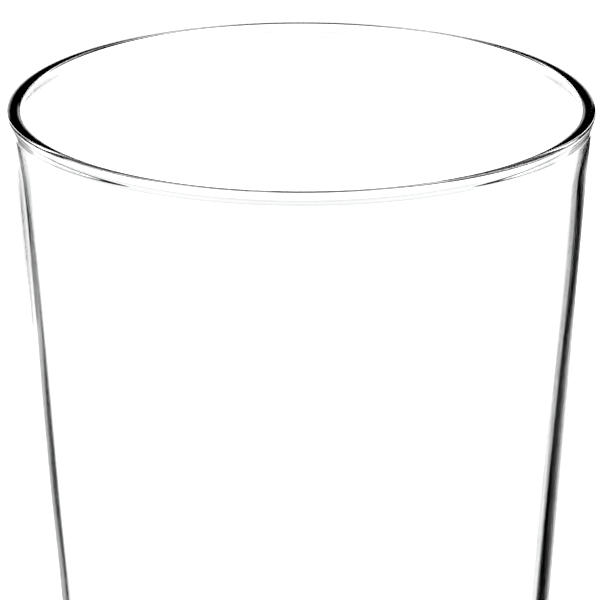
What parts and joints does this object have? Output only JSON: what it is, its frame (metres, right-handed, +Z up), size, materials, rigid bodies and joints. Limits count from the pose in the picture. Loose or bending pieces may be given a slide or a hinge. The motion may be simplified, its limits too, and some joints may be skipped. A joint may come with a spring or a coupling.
{
  "type": "pint glass",
  "caption": "Tall, gently tapered clear drinking glass with a thick foot, a thin wall and a rounded fire-polished rim bead.",
  "frame": {"origin": "middle of the foot, on the surface that the glass stands on", "axes": "+Z up along the axis of the glass, from the foot to the rim; X and Y are equal, because the glass is round"},
  "size_m": [0.088, 0.088, 0.15],
  "materials": {
    "clear_glass": "clear, colourless, fire-polished"
  },
  "bodies": {
    "root": {"glass_body": "clear_glass"}
  },
  "joints": []
}
